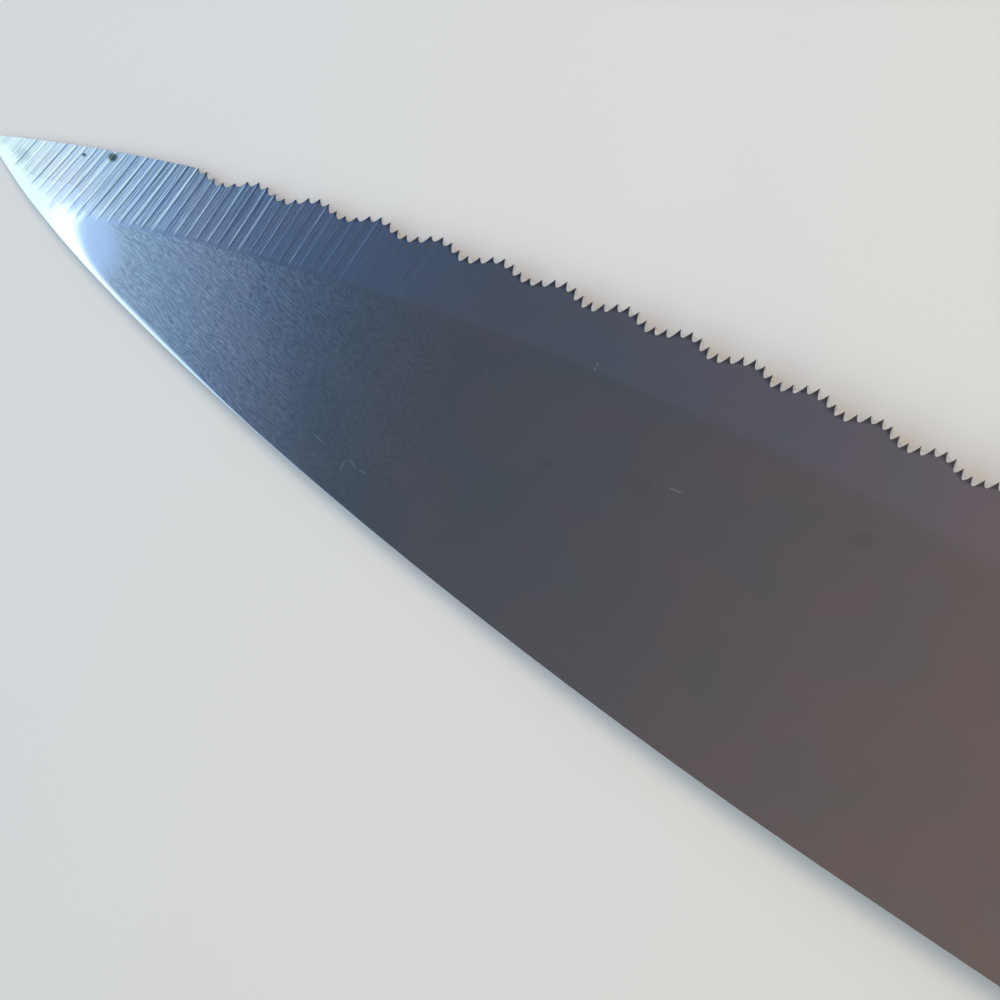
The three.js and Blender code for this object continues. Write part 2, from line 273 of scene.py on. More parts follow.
tip = at(BLADE_LENGTH, -TIP_DROP)
heel = at(0, -HEEL_DEPTH)
spine_start = at(BLADE_LENGTH - SPINE_DROP_LENGTH, 0)
spine_line = cubic(
    tip,
    tip + polar(180 - SPINE_TIP_ANGLE, SPINE_TIP_PULL),
    spine_start + at(SPINE_STRAIGHT_PULL, 0),
    spine_start,
    SPINE_STEPS,
)
belly_end = at(BLADE_LENGTH - BELLY_LENGTH, -HEEL_DEPTH)
belly_line = cubic(
    tip,
    tip + polar(180 + EDGE_TIP_ANGLE, EDGE_TIP_PULL),
    belly_end + at(BELLY_PULL, 0),
    belly_end,
    EDGE_STEPS,
)
edge_line = joined(belly_line, np.linspace(belly_end, heel, EDGE_STEPS))
edge_distances = distances(edge_line)
edge_length = edge_distances[-1]

scale_front = -NECK_LENGTH
butt = scale_front - HANDLE_LENGTH
front_top = at(scale_front, 0)
front_bottom = at(scale_front, -HANDLE_FRONT_DEPTH)
choil = at(0, (front_bottom[1] + heel[1]) / 2)


def at_butt(point, direction):
    return at(butt, point[1] + (butt - point[0]) * direction[1] / direction[0])


# From the front of the handle's top, round the butt, to the front of its bottom
def handle_outline():
    top_rear = at(butt + TOP_REAR_FORWARD, -TOP_REAR_DEPTH)
    beak = at(butt + BEAK_FORWARD, -BEAK_DEPTH)
    rear_waist = at(butt + REAR_WAIST_FORWARD, -REAR_WAIST_DEPTH)
    palm_swell = at(scale_front - PALM_SWELL_BACK, -PALM_SWELL_DEPTH)
    finger_hollow = at(scale_front - FINGER_HOLLOW_BACK, -FINGER_HOLLOW_DEPTH)
    top_pull = (front_top[0] - top_rear[0]) / 3
    top_control = at(top_rear[0] + top_pull, TOP_ARCH)
    upper = at_butt(top_rear, top_rear - top_control)
    lower = at_butt(beak, rear_waist - beak)
    return joined(
        cubic(front_top, at(front_top[0] - top_pull, TOP_ARCH), top_control, top_rear),
        quadratic(top_rear, upper, (upper + lower) / 2),
        quadratic((upper + lower) / 2, lower, beak),
        spline_through([beak, rear_waist, palm_swell, finger_hollow, front_bottom]),
    )


def rivet_places():
    places = {}
    for name in RIVET_NAMES:
        low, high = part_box(f"rivet_{name}_sleeve")
        middle = ((low + high) / 2 - ORIGIN) / MM
        places[name] = at(middle.x, middle.y)
    return places


# Ground edge: a hollow bevel with shallow ribs, and waves of teeth cut steeply through its thin edge

edge_rise = math.tan(math.radians(EDGE_ANGLE))
bevel_rise = BLADE_THICKNESS - EDGE_THICKNESS
hollow_rise = (bevel_rise / BEVEL_WIDTH - edge_rise) / BEVEL_WIDTH
wave_pitch = TOOTH_PITCH * TEETH_PER_WAVE
toothed_end = PLAIN_TIP + (edge_length - PLAIN_TIP - PLAIN_HEEL) // wave_pitch * wave_pitch
rib_before = math.ceil(PLAIN_TIP / TOOTH_PITCH)
rib_count = rib_before + math.ceil((edge_length + BEVEL_WIDTH) / TOOTH_PITCH)
rib_strength = 1 + RIB_SPREAD * randomness.uniform(-1, 1, rib_count)
tooth_strength = 1 + TOOTH_SPREAD * randomness.uniform(-1, 1, rib_count)


# The height of the smooth hollow at a distance in from the edge line, and the distance at which it has
# a given height
def hollow_height(inward):
    return EDGE_THICKNESS + edge_rise * inward + hollow_rise * inward ** 2


def hollow_reach(height):
    climb = height - EDGE_THICKNESS
    return (np.sqrt(edge_rise ** 2 + 4 * hollow_rise * climb) - edge_rise) / (2 * hollow_rise)


def rib_number(run):
    return np.floor((run - PLAIN_TIP) / TOOTH_PITCH).astype(int) + rib_before


def across_tooth(run):
    teeth = (run - PLAIN_TIP) / TOOTH_PITCH
    return teeth - np.floor(teeth)


# How far a place lies into its gullet: 0 on a tooth's tip and 1 at the bottom, which is round. From there
# it climbs ever more steeply to the next tooth, which lies nearer the heel.
def gullet_share(run):
    across = across_tooth(run)
    falling = np.sin(np.clip(across / GULLET_MIDDLE, 0, 1) * math.pi / 2)
    climbing = 1 - np.clip((across - GULLET_MIDDLE) / (1 - GULLET_MIDDLE), 0, 1) ** GULLET_ROUNDNESS
    return np.where(across < GULLET_MIDDLE, falling, climbing)


# The teeth are smallest near the tip
def tooth_size(run):
    growth = smooth_share((run - PLAIN_TIP) / TOOTH_GROWTH_LENGTH)
    return FIRST_TOOTH_SHARE + (1 - FIRST_TOOTH_SHARE) * growth


# The strokes of the wheel lean most near the tip
def groove_lean(run):
    change = smooth_share((run - LEAN_CHANGE_START) / LEAN_CHANGE_LENGTH)
    return np.tan(np.radians(TIP_GROOVE_LEAN + (GROOVE_LEAN - TIP_GROOVE_LEAN) * change))


# Narrow ribs stand between flat grooves. They are highest near the tip and fade along the edge.
def rib_depth(run):
    fade = 1 - (1 - RIB_REST_SHARE) * smooth_share((run - RIB_FADE_START) / RIB_FADE_LENGTH)
    from_middle = np.abs(2 * across_tooth(run) - 1)
    return RIB_HEIGHT * (1 - from_middle ** RIB_NARROWNESS) * rib_strength[rib_number(run)] * fade


def is_toothed(run):
    return (run > PLAIN_TIP) & (run < toothed_end)


def wave_line(run):
    return WAVE_DEPTH * (1 - np.cos(2 * math.pi * (run - PLAIN_TIP) / wave_pitch)) / 2


# The edge on the bevelled side, as a distance in from the edge line
def tooth_line(run):
    gullet = GULLET_DEPTH * tooth_size(run) * gullet_share(run) * tooth_strength[rib_number(run)]
    return np.where(is_toothed(run), wave_line(run) + gullet, PLAIN_FACET)


# How far a place lies in from the roots of the teeth. It is below zero on the teeth themselves.
def past_root(run, inward):
    root = wave_line(run) + GULLET_DEPTH * tooth_size(run)
    return np.where(is_toothed(run), inward - root, inward)


# How far the edge stands out on the flat back, beyond the edge on the bevelled side
def facet_width(run):
    growth = smooth_share((run - FACET_START) / FACET_GROWTH_LENGTH)
    facet = TOOTH_FACET + (GULLET_FACET - TOOTH_FACET) * growth * gullet_share(run)
    return np.where(is_toothed(run), facet, PLAIN_FACET)


# The edge line runs on straight past the heel
def edge_at(run):
    along = unit(np.gradient(edge_line, axis=0))
    inside = np.clip(run, 0, edge_length)
    columns = [np.interp(inside, edge_distances, column) for column in (*edge_line.T, *along.T)]
    direction = unit(np.stack(columns[2:], axis=1))
    point = np.stack(columns[:2], axis=1) + direction * (run - inside)[:, None]
    return point, direction


# The height of the spine over each x, falling on straight past the tip
def spine_height(x):
    inside = np.interp(x, spine_line[::-1, 0], spine_line[::-1, 1])
    return inside - np.maximum(x - BLADE_LENGTH, 0) * math.tan(math.radians(SPINE_TIP_ANGLE))


# The bevel line gets softer towards the heel
def line_softness(run):
    change = smooth_share((run - LINE_CHANGE_START) / LINE_CHANGE_LENGTH)
    return TIP_LINE_SOFTNESS + (REAR_LINE_SOFTNESS - TIP_LINE_SOFTNESS) * change


# The width of the spine's rounded corner at a distance from the tip
def corner_width(from_tip):
    at_tip = np.exp(-(from_tip / TIP_ROUND_LENGTH) ** 2)
    in_front = 1 - smooth_share((from_tip - FRONT_ROUND_START) / FRONT_ROUND_LENGTH)
    worn = np.exp(-((from_tip - WORN_CORNER_FROM_TIP) / WORN_CORNER_LENGTH) ** 2)
    width = SPINE_ROUND_WIDTH + FRONT_ROUND_WIDTH * in_front
    return width + TIP_ROUND_WIDTH * at_tip + WORN_CORNER_WIDTH * worn


# How far each stroke of the wheel goes before it reaches the spine, by halving
def reach_to_spine(point, stroke):
    low = np.zeros(len(point))
    high = np.full(len(point), 2 * HEEL_DEPTH)
    for _ in range(HALVINGS):
        middle = (low + high) / 2
        place = point + stroke * middle[:, None]
        inside = place[:, 1] < spine_height(place[:, 0])
        low = np.where(inside, middle, low)
        high = np.where(inside, high, middle)
    return low


class Strokes:
    """Strokes of the wheel side by side, from the tip to just past the heel. Each one starts on the edge
    or on the heel's wall, climbs the teeth's facet and the hollow, and goes on over the flat to the
    spine."""

    def __init__(self):
        step = TOOTH_PITCH / STEPS_PER_TOOTH
        past_heel = hollow_reach(2 * BLADE_THICKNESS) * groove_lean(edge_length)
        before = math.ceil(PLAIN_TIP / step) - 1
        on_edge = PLAIN_TIP + step * np.arange(-before, (edge_length - PLAIN_TIP) / step)
        self.run = np.concatenate([[0], on_edge, edge_length + np.arange(0, past_heel, step)])
        self.start, along = edge_at(self.run)
        normal = np.stack([along[:, 1], -along[:, 0]], axis=1)
        self.direction = normal - along * groove_lean(self.run)[:, None]
        self.ribs = rib_depth(self.run)
        self.softness = line_softness(self.run)
        self.bevel_line = hollow_reach(BLADE_THICKNESS + self.ribs)
        self.heel_wall = np.where(self.run > edge_length, -self.start[:, 0] / self.direction[:, 0], 0)
        self.spine = reach_to_spine(self.start, self.direction)
        from_tip = np.linalg.norm(self.place(self.spine) - tip, axis=1)
        self.corner = np.minimum(corner_width(from_tip), self.spine / 2)
        climb = self.ground(self.spine) - self.ground(self.spine - self.corner)
        slope = math.tan(math.radians(SPINE_ROUND_SLOPE))
        self.drop = (climb + self.corner * slope) / SPINE_ROUND_POWER

    def place(self, inward):
        return self.start + self.direction * inward[:, None]

    # The hollow and the flat, which meet in a soft line
    def ground(self, inward, ribs=0):
        below = BLADE_THICKNESS - hollow_height(inward) + ribs
        return BLADE_THICKNESS - (below + np.sqrt(below ** 2 + self.softness ** 2)) / 2

    # The ribs fade into the spine's rounded corner
    def height(self, inward):
        in_corner = np.clip(1 - (self.spine - inward) / np.maximum(self.corner, WELD), 0, 1)
        ground = self.ground(inward, self.ribs * (1 - in_corner))
        return ground - np.minimum(self.drop, ground / 2) * in_corner ** SPINE_ROUND_POWER

    # Distances in from the edge line, row by row, and the number of the row where the flat begins
    def rows(self):
        top_edge = tooth_line(self.run)
        back_edge = top_edge - facet_width(self.run)
        first = np.minimum(np.maximum(back_edge, self.heel_wall), self.spine)
        second = np.minimum(np.maximum(top_edge, self.heel_wall), self.spine)
        inside = np.maximum(self.spine - self.corner, second)
        reach = self.softness * LINE_REACH_SHARE
        low = np.clip(self.bevel_line - reach, second, inside)
        flat = np.clip(self.bevel_line + reach, second, inside)
        rows = [first]
        for number in range(BEVEL_ROWS):
            rows.append(second + (low - second) * number / BEVEL_ROWS)
        for number in range(BEVEL_LINE_ROWS + 1):
            rows.append(low + (flat - low) * number / BEVEL_LINE_ROWS)
        flat_row = len(rows) - 1 - BEVEL_LINE_ROWS // 2
        rows.append(np.maximum(self.spine - self.corner - FLAT_MARGIN, flat))
        for number in range(ROUND_ROWS + 1):
            rows.append(np.maximum(self.spine - self.corner * (1 - number / ROUND_ROWS), flat))
        return rows, flat_row

    def lines(self):
        rows, flat_row = self.rows()
        lines = [np.column_stack([self.place(inward), self.height(inward)]) for inward in rows]
        lines[0][self.run <= edge_length, 2] = 0
        return rows, lines, flat_row


class Shape:
    """Points and faces of one mesh, gathered piece by piece and welded at the end."""

    def __init__(self):
        self.points = []
        self.values = []
        self.faces = []
        self.kinds = []
        self.smooth = []

    def add(self, line, values=None):
        start = len(self.points)
        self.points.extend(np.asarray(line).tolist())
        self.values.extend(np.zeros((len(line), 3)) if values is None else values)
        return list(range(start, start + len(line)))

    def bridge(self, low, high, kind=0, closed=False):
        count = len(low)
        for here in range(count if closed else count - 1):
            following = (here + 1) % count
            self.faces.append((low[here], low[following], high[following], high[here]))
            self.kinds.append(kind)
            self.smooth.append(True)

    def bridge_lines(self, lines, kind=0, closed=False):
        strips = [self.add(line) for line in lines]
        for low, high in zip(strips, strips[1:]):
            self.bridge(low, high, kind, closed)

    def fill(self, loops, kind=0, smooth=True):
        corners = [corner for loop in loops for corner in self.add(loop)]
        outlines = [[Vector(point) for point in loop] for loop in loops]
        for triangle in tessellate_polygon(outlines):
            self.faces.append(tuple(corners[number] for number in triangle))
            self.kinds.append(kind)
            self.smooth.append(smooth)

    def mesh(self, name, sharp_angle):
        mesh = bpy.data.meshes.new(name)
        mesh.from_pydata([Vector(point) * MM for point in self.points], [], self.faces)
        for column, label in enumerate(("run", "inward", "past_root")):
            layer = mesh.attributes.new(label, "FLOAT", "POINT")
            layer.data.foreach_set("value", [value[column] for value in self.values])
        mesh.polygons.foreach_set("material_index", self.kinds)
        mesh.polygons.foreach_set("use_smooth", self.smooth)
        finish_mesh(mesh, sharp_angle)
        return mesh


# Welds the seams, points the faces out and makes the edges sharp from an angle on
def finish_mesh(mesh, sharp_angle):
    work = bmesh.new()
    work.from_mesh(mesh)
    bmesh.ops.remove_doubles(work, verts=work.verts, dist=WELD * MM)
    bmesh.ops.dissolve_degenerate(work, edges=work.edges, dist=WELD * MM)
    bmesh.ops.recalc_face_normals(work, faces=work.faces)
    if work.calc_volume(signed=True) < 0:
        bmesh.ops.reverse_faces(work, faces=work.faces)
    for edge in work.edges:
        edge.smooth = edge.calc_face_angle(0) < math.radians(sharp_angle)
    work.to_mesh(mesh)
    work.free()


def place_piece(name, shape, sharp_angle, location=ORIGIN):
    piece = bpy.data.objects.new(name, shape.mesh(name, sharp_angle))
    bpy.context.scene.collection.objects.link(piece)
    piece.location = location
    return piece


def level(line, height):
    return np.column_stack([line, np.broadcast_to(height, len(line))])


def circle(place, radius, height):
    turn = np.linspace(0, 2 * math.pi, TURNED_SIDES, endpoint=False)
    return level(place + radius * np.stack([np.cos(turn), np.sin(turn)], axis=1), height)


# Unit vectors that point out of an outline which runs round its shape with the inside on its left
def outward(line, closed=False):
    if closed:
        along = np.roll(line, -1, axis=0) - np.roll(line, 1, axis=0)
    else:
        along = np.gradient(line, axis=0)
    along = unit(along)
    return np.stack([along[:, 1], -along[:, 0]], axis=1)


# Blade: the strokes of the wheel, the tang, the walls and the flat back

FACE, BEVEL, TOOTH, SIDE = range(4)


# The outline behind the last stroke: along the spine to the handle, round the tang and down to the bevel
def rear_outline(spine_end, bevel_end):
    straight = np.linspace(spine_end, front_top, CURVE_STEPS)
    neck = quadratic(front_bottom, at(0, front_bottom[1]), choil)
    return joined(straight, handle_outline(), neck, np.linspace(choil, bevel_end, CURVE_STEPS))


# The tang's broken corner, as lines from the face out to the rim. It starts on the last stroke.
def rear_corner(last_stroke):
    outline = rear_outline(last_stroke[-1, :2], last_stroke[0, :2])
    normal = outward(outline)
    to_end = distances(outline)[-1] - distances(outline)
    size = smooth_share(to_end / CORNER_FADE)
    lines = []
    for number in range(ROUND_ROWS + 1):
        share = number / ROUND_ROWS
        place = outline - normal * (CORNER_WIDTH * size * (1 - share))[:, None]
        line = level(place, BLADE_THICKNESS - CORNER_DROP * size * share ** 2)
        line[0] = last_stroke[number - ROUND_ROWS - 1]
        lines.append(line)
    return lines


# The ground side and the face above it, stroke by stroke
def add_strokes(shape, strokes):
    run = strokes.run
    rows, lines, flat_row = strokes.lines()
    strips = []
    for line, inward in zip(lines, rows):
        strips.append(shape.add(line, np.column_stack([run, inward, past_root(run, inward)])))
    for number in range(len(strips) - 1):
        ground = TOOTH if number == 0 else BEVEL
        shape.bridge(strips[number], strips[number + 1], ground if number < flat_row else FACE)
    return lines


# The walls, the broken corner round the back, and the part of the back that lies under the strokes
def add_walls(shape, run, lines, corner):
    rim = np.concatenate([lines[-1], corner[-1][1:]])
    from_tip = distances(rim[:, :2])
    to_end = from_tip[-1] - from_tip
    size = smooth_share(from_tip / CORNER_FADE) * smooth_share(to_end / CORNER_FADE)
    rise = np.minimum(CORNER_WIDTH * size, rim[:, 2] / 2)
    low_rim = level(rim[:, :2], rise)
    back = level(rim[:, :2] - outward(rim[:, :2]) * rise[:, None], 0)
    shape.bridge_lines([rim, low_rim, back], SIDE)
    edge = level(lines[0][:, :2], 0)
    shape.bridge_lines([edge, back[:len(run)]], FACE)
    heel_top = lines[0][run >= edge_length]
    shape.bridge_lines([heel_top, level(heel_top[:, :2], 0)], SIDE)
    return edge, back


# The flats behind the last stroke, with the rivets' holes through them
def add_rear_flats(shape, face, back):
    radius = SLEEVE_RADIUS + HOLE_CLEARANCE
    face_holes = [circle(place, radius, BLADE_THICKNESS) for place in rivet_places().values()]
    back_holes = [circle(place, radius, 0) for place in rivet_places().values()]
    shape.fill([face, *face_holes], FACE, smooth=False)
    shape.fill([back, *back_holes], FACE)
    for upper, lower in zip(face_holes, back_holes):
        shape.bridge_lines([upper, lower], SIDE, closed=True)


def blade_shape():
    shape = Shape()
    strokes = Strokes()
    lines = add_strokes(shape, strokes)
    last_stroke = np.array([line[-1] for line in lines])
    corner = rear_corner(last_stroke)
    shape.bridge_lines(corner, FACE)
    edge, back = add_walls(shape, strokes.run, lines, corner)
    rear_face = np.concatenate([last_stroke[:-ROUND_ROWS - 1], corner[0]])
    rear_back = np.concatenate([edge[-1:], back[len(strokes.run) - 1:-1]])
    add_rear_flats(shape, rear_face, rear_back)
    return shape


def make_blade():
    blade = place_piece("ground_blade", blade_shape(), BLADE_SHARP)
    for material in (steel_face(), steel_bevel(), steel_tooth(), steel_side()):
        blade.data.materials.append(material)
    finish_piece(blade, "blade")


# Handle scales: an outline with rounded edges, cut and rounded at the front, with holes for the rivets

def cut(piece, tool, operation):
    change = piece.modifiers.new("cut", "BOOLEAN")
    change.operation = operation
    change.object = tool
    change.solver = "EXACT"
    graph = bpy.context.evaluated_depsgraph_get()
    mesh = bpy.data.meshes.new_from_object(piece.evaluated_get(graph))
    piece.modifiers.clear()
    piece.data = mesh
    bpy.data.objects.remove(tool)


def grip_shape(inner, outer):
    side = math.copysign(1, outer - inner)
    past_front = at(scale_front + 2 * SCALE_EDGE_ROUND, 0)
    outline = handle_outline()
    corners = [past_front, past_front + at(0, -HANDLE_FRONT_DEPTH)]
    outline = np.concatenate([corners[:1], outline, corners[1:]])
    normal = outward(outline, closed=True)
    lines = [level(outline, inner)]
    for number in range(SCALE_ROUND_ROWS + 1):
        angle = math.pi / 2 * number / SCALE_ROUND_ROWS
        inset = SCALE_EDGE_ROUND * (1 - math.cos(angle))
        height = outer - side * SCALE_EDGE_ROUND * (1 - math.sin(angle))
        lines.append(level(outline - normal * inset, height))
    shape = Shape()
    shape.bridge_lines(lines, closed=True)
    shape.fill([lines[0]])
    shape.fill([lines[-1]])
    return shape


# The scale seen from its edge: a straight side, and a front whose outer corner is rounded
def front_tool(inner, outer):
    side = math.copysign(1, outer - inner)
    behind = butt - CUT_PAST
    round_start = at(scale_front - SCALE_FRONT_ROUND, outer)
    round_end = at(scale_front, outer - side * SCALE_FRONT_ROUND)
    profile = np.concatenate([
        [at(behind, inner - side * CUT_PAST), at(behind, outer)],
        quadratic(round_start, at(scale_front, outer), round_end),
        [at(scale_front, inner - side * CUT_PAST)],
    ])
    sides = []
    for y in (HANDLE_LENGTH, -HANDLE_LENGTH):
        sides.append(np.column_stack([profile[:, 0], np.full(len(profile), y), profile[:, 1]]))
    shape = Shape()
    shape.bridge_lines(sides, closed=True)
    shape.fill([sides[0]])
    shape.fill([sides[1]])
    return shape


def hole_tool(inner, outer, head_seat):
    side = math.copysign(1, outer - inner)
    shape = Shape()
    shank = SLEEVE_RADIUS + HOLE_CLEARANCE
    head = HEAD_RADIUS + HOLE_CLEARANCE
    floor = head_seat - side * SEAT_GAP
    start = inner - side * CUT_PAST
    end = outer + side * CUT_PAST
    profile = [(0, start), (shank, start), (shank, floor), (head, floor), (head, end), (0, end)]
    for place in rivet_places().values():
        add_turned(shape, profile, place)
    return shape


def add_turned(shape, profile, place=at(0, 0)):
    shape.bridge_lines([circle(place, radius, height) for radius, height in profile], closed=True)


def levels(node):
    low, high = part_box(node)
    return (low.z - ORIGIN.z) / MM, (high.z - ORIGIN.z) / MM


def make_scale(node, material):
    low, high = levels(node)
    is_right = high > BLADE_THICKNESS
    inner, outer = (low, high) if is_right else (high, low)
    rivet_low = levels("rivet_front_pin")[0]
    rivet_high = levels("rivet_front_sleeve")[1]
    seat = rivet_high - HEAD_THICKNESS if is_right else rivet_low + HEAD_THICKNESS
    piece = place_piece(f"{node}_shaped", grip_shape(inner, outer), SCALE_SHARP)
    cut(piece, place_piece("front_tool", front_tool(inner, outer), SCALE_SHARP), "INTERSECT")
    cut(piece, place_piece("hole_tool", hole_tool(inner, outer, seat), SCALE_SHARP), "DIFFERENCE")
    finish_mesh(piece.data, SCALE_SHARP)
    keep_flats = piece.modifiers.new("keep_flats", "WEIGHTED_NORMAL")
    keep_flats.keep_sharp = True
    piece.data.materials.clear()
    piece.data.materials.append(material)
    finish_piece(piece, node)


# Rivets: turned, with a softened rim round each head

def head_rim(top, side):
    rim = []
    for number in range(ROUND_ROWS + 1):
        angle = math.pi / 2 * number / ROUND_ROWS
        radius = HEAD_RADIUS - HEAD_ROUND * (1 - math.cos(angle))
        rim.append((radius, top - side * HEAD_ROUND * (1 - math.sin(angle))))
    return rim


def sleeve_profile(node):
    mouth, top = levels(node)
    seat = top - HEAD_THICKNESS
    return [
        (0, seat), (BORE_RADIUS, seat), (BORE_RADIUS, mouth), (SLEEVE_RADIUS, mouth), (SLEEVE_RADIUS, seat),
        (HEAD_RADIUS, seat), *head_rim(top, 1), (0, top),
    ]


def pin_profile(node):
    bottom, end = levels(node)
    seat = bottom + HEAD_THICKNESS
    shank = BORE_RADIUS - PIN_CLEARANCE
    return [(0, end), (shank, end), (shank, seat), (HEAD_RADIUS, seat), *head_rim(bottom, -1), (0, bottom)]


def make_rivets(material):
    for name, place in rivet_places().items():
        for part, profile in (("sleeve", sleeve_profile), ("pin", pin_profile)):
            node = f"rivet_{name}_{part}"
            shape = Shape()
            add_turned(shape, profile(node))
            location = ORIGIN + Vector((*place, 0)) * MM
            piece = place_piece(f"{node}_turned", shape, RIVET_SHARP, location)
            piece.data.materials.append(material)
            finish_piece(piece, node)


def finish_piece(piece, node):
    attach(piece, BODY)
    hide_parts(node)


# Materials

class Nodes:
    """Short ways to add shader nodes to one tree."""

    def __init__(self, tree):
        self.tree = tree
        tree.nodes.clear()

    def add(self, kind, inputs, **settings):
        node = self.tree.nodes.new(kind)
        for name, value in settings.items():
            setattr(node, name, value)
        for name, value in inputs.items():
            if isinstance(value, bpy.types.NodeSocket):
                self.tree.links.new(value, node.inputs[name])
            else:
                node.inputs[name].default_value = value
        return node

    def place(self):
        coordinates = self.add("ShaderNodeTexCoord", {}).outputs["Object"]
        scaled = self.add("ShaderNodeVectorMath", {0: coordinates, "Scale": 1 / MM}, operation="SCALE")
        return scaled.outputs["Vector"]

    def attribute(self, name):
        return self.add("ShaderNodeAttribute", {}, attribute_name=name).outputs["Fac"]

    def vector(self, x, y):
        return self.add("ShaderNodeCombineXYZ", {"X": x, "Y": y}).outputs["Vector"]

    def axis(self, vector, name):
        return self.add("ShaderNodeSeparateXYZ", {"Vector": vector}).outputs[name]

    def math(self, operation, first, second=0.0):
        return self.add("ShaderNodeMath", {0: first, 1: second}, operation=operation).outputs[0]

    def times(self, first, second):
        return self.math("MULTIPLY", first, second)

    def spread(self, value, low, high, to_low=0.0, to_high=1.0):
        inputs = {"Value": value, "From Min": low, "From Max": high, "To Min": to_low, "To Max": to_high}
        return self.add("ShaderNodeMapRange", inputs, interpolation_type="SMOOTHSTEP").outputs[0]

    def stretched(self, vector, size, turn=0.0):
        inputs = {"Vector": vector, "Rotation": (0, 0, math.radians(turn)), "Scale": size}
        return self.add("ShaderNodeMapping", inputs, vector_type="TEXTURE").outputs["Vector"]

    def noise(self, vector, detail=2.0, roughness=0.5):
        inputs = {"Vector": vector, "Scale": 1.0, "Detail": detail, "Roughness": roughness}
        return self.add("ShaderNodeTexNoise", inputs).outputs[0]

    def mix(self, share, first, second):
        inputs = {0: share, 6: first, 7: second}
        return self.add("ShaderNodeMix", inputs, data_type="RGBA").outputs[2]

    # A soft spot on the blade: 1 over its core and 0 outside an ellipse of the given half sizes
    def spot(self, vector, centre, size, turn=0.0):
        inputs = {
            "Vector": vector,
            "Location": (*centre, 0),
            "Rotation": (0, 0, math.radians(turn)),
            "Scale": (*size, BLADE_LENGTH),
        }
        local = self.add("ShaderNodeMapping", inputs, vector_type="TEXTURE").outputs["Vector"]
        reach = self.add("ShaderNodeVectorMath", {0: local}, operation="LENGTH").outputs["Value"]
        return self.spread(reach, SPOT_CORE, 1.0, 1.0, 0.0)

    def spots(self, vector, marks, strength=1.0):
        share = 0.0
        for mark in marks:
            share = self.math("MAXIMUM", share, self.spot(vector, *mark))
        return self.times(share, strength)

    def plus(self, first, share, second):
        inputs = {0: share, 6: first, 7: second}
        return self.add("ShaderNodeMix", inputs, data_type="RGBA", blend_type="ADD").outputs[2]

    def bump(self, height, depth):
        inputs = {"Height": height, "Distance": depth * MM, "Strength": 1.0}
        return self.add("ShaderNodeBump", inputs).outputs["Normal"]

    def surface(self, inputs):
        shader = self.add("ShaderNodeBsdfPrincipled", inputs)
        self.add("ShaderNodeOutputMaterial", {"Surface": shader.outputs["BSDF"]})


def new_material(name):
    material = bpy.data.materials.new(name)
    material.use_nodes = True
    return material, Nodes(material.node_tree)


# Steel, with clouds of a cooler and a warmer tone. A range is the part of a pattern's values that a tone or
# a roughness changes over, and a noise is its detail and how strong that is.
STEEL = (0.56, 0.57, 0.59, 1)
STEEL_COOL = (0.53, 0.56, 0.57, 1)
STEEL_WARM = (0.58, 0.55, 0.56, 1)
STEEL_DULL = (0.47, 0.47, 0.49, 1)
STEEL_BRIGHT = (0.92, 0.9, 0.87, 1)
STEEL_SHADED = (0.36, 0.38, 0.41, 1)
STEEL_POLISH_PAINTED_SHINE = (0.68, 0.67, 0.67, 1)
STEEL_SMUDGED = (0.44, 0.43, 0.43, 1)
STEEL_SCRATCHED = (0.85, 0.85, 0.85, 1)
TOOTH_PAINTED_SHADE = (0.24, 0.25, 0.27, 1)
RUST = (0.05, 0.055, 0.045, 1)
CLOUD_SIZE = (9.0, 7.0, 9.0)
CLOUD_RANGE = (0.35, 0.65)
MIDDLE_RANGE = (0.3, 0.7)

# Brushed lines on the flat: how far from the tip they are clear and have worn away, and how far the face is
# turned up where it is flat and where it is rounded and polished
BRUSH_SIZE = (0.9, 0.1, 1.0)
BRUSH_NOISE = (3.0, 0.7)
BRUSH_GRAIN = (0.5, 0.075, 0.4)
BRUSH_GRAIN_RANGE = (0.4, 0.65)
BRUSH_TURN = -9.0
BRUSH_DEPTH = 0.0055
BRUSH_SHADE = 0.95
BRUSH_CLEAR = 30.0
BRUSH_WORN = 62.0
BRUSH_REST = 0.06
FLAT_RISE = 0.99997
POLISHED_RISE = 0.9997
FACE_ROUGHNESS = (0.085, 0.1)

# Fine lines of the wheel on the bevel, in run along the edge and distance in from it, and teeth that are
# painted darker from their roots out: a painted shade for the dark reflection on their tips
GRIND_SIZE = (0.2, 5.0, 1.0)
GRIND_NOISE = (3.0, 0.6)
GRIND_RANGE = (0.45, 0.7)
GRIND_DEPTH = 0.006
GRIND_SHADE = 0.7
BEVEL_ROUGHNESS = (0.1, 0.13)
TOOTH_SHADE_CHANGE = (0.15, -0.35)
TOOTH_RANGE = (0.3, 0.8)
TOOTH_ROUGHNESS = 0.4

# Lines up the walls
SIDE_SIZE = (0.15, 0.15, 3.0)
SIDE_DEPTH = 0.005
SIDE_ROUGHNESS = (0.28, 0.42)
